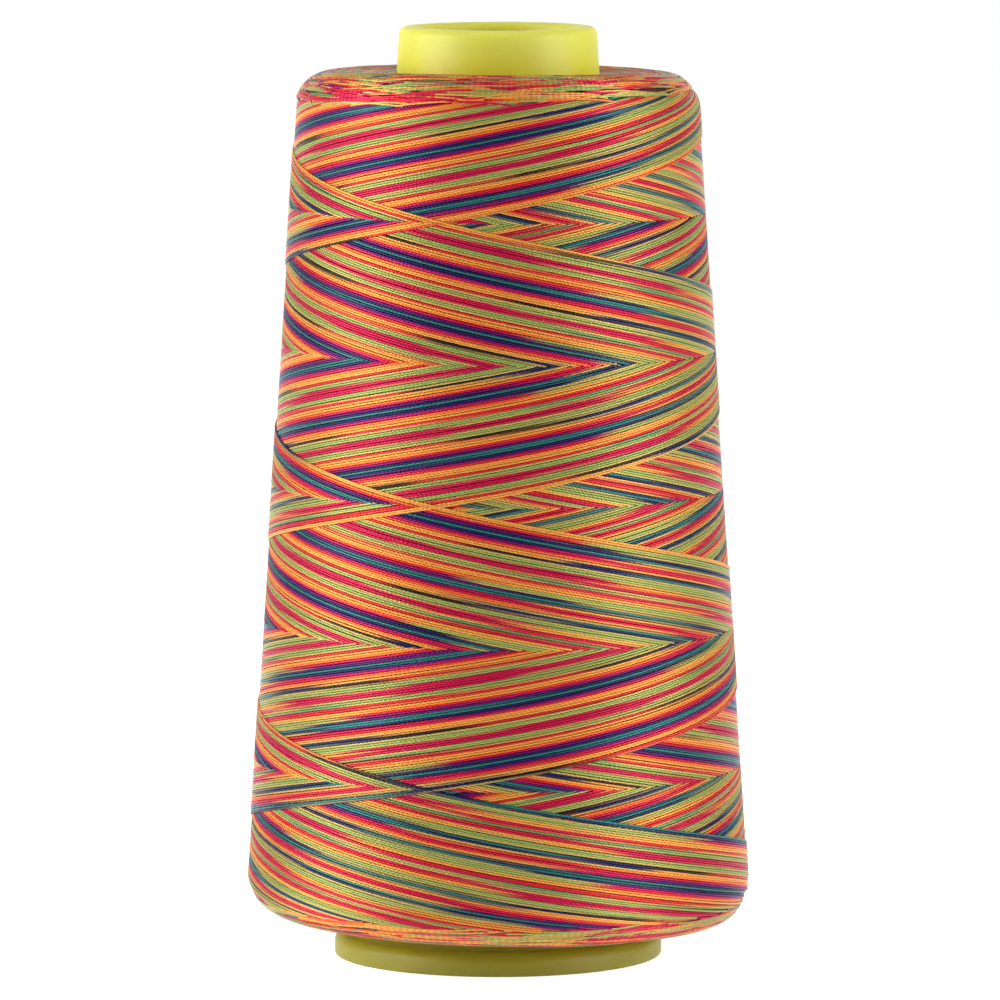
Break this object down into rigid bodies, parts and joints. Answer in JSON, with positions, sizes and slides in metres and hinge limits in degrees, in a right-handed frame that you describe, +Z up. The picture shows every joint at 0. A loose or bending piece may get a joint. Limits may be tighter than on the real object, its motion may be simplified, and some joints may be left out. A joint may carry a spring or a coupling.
{
  "type": "thread cone",
  "caption": "Cone of cross-wound variegated serger thread on a hollow tapered plastic core with a base ring and an open nose.",
  "frame": {"origin": "centre of the base ring's underside", "axes": "+Z up along the cone's axis, towards the nose; -Y is the side that faces the picture's camera"},
  "size_m": [0.0617, 0.062, 0.115],
  "materials": {
    "cone_plastic": "translucent yellow moulding, satin",
    "thread": "variegated spun polyester in orange, red, magenta, purple, navy, teal and lime"
  },
  "bodies": {
    "root": {"cone_core": "cone_plastic", "thread_pack": "thread", "outer_winding": "thread"}
  },
  "joints": []
}
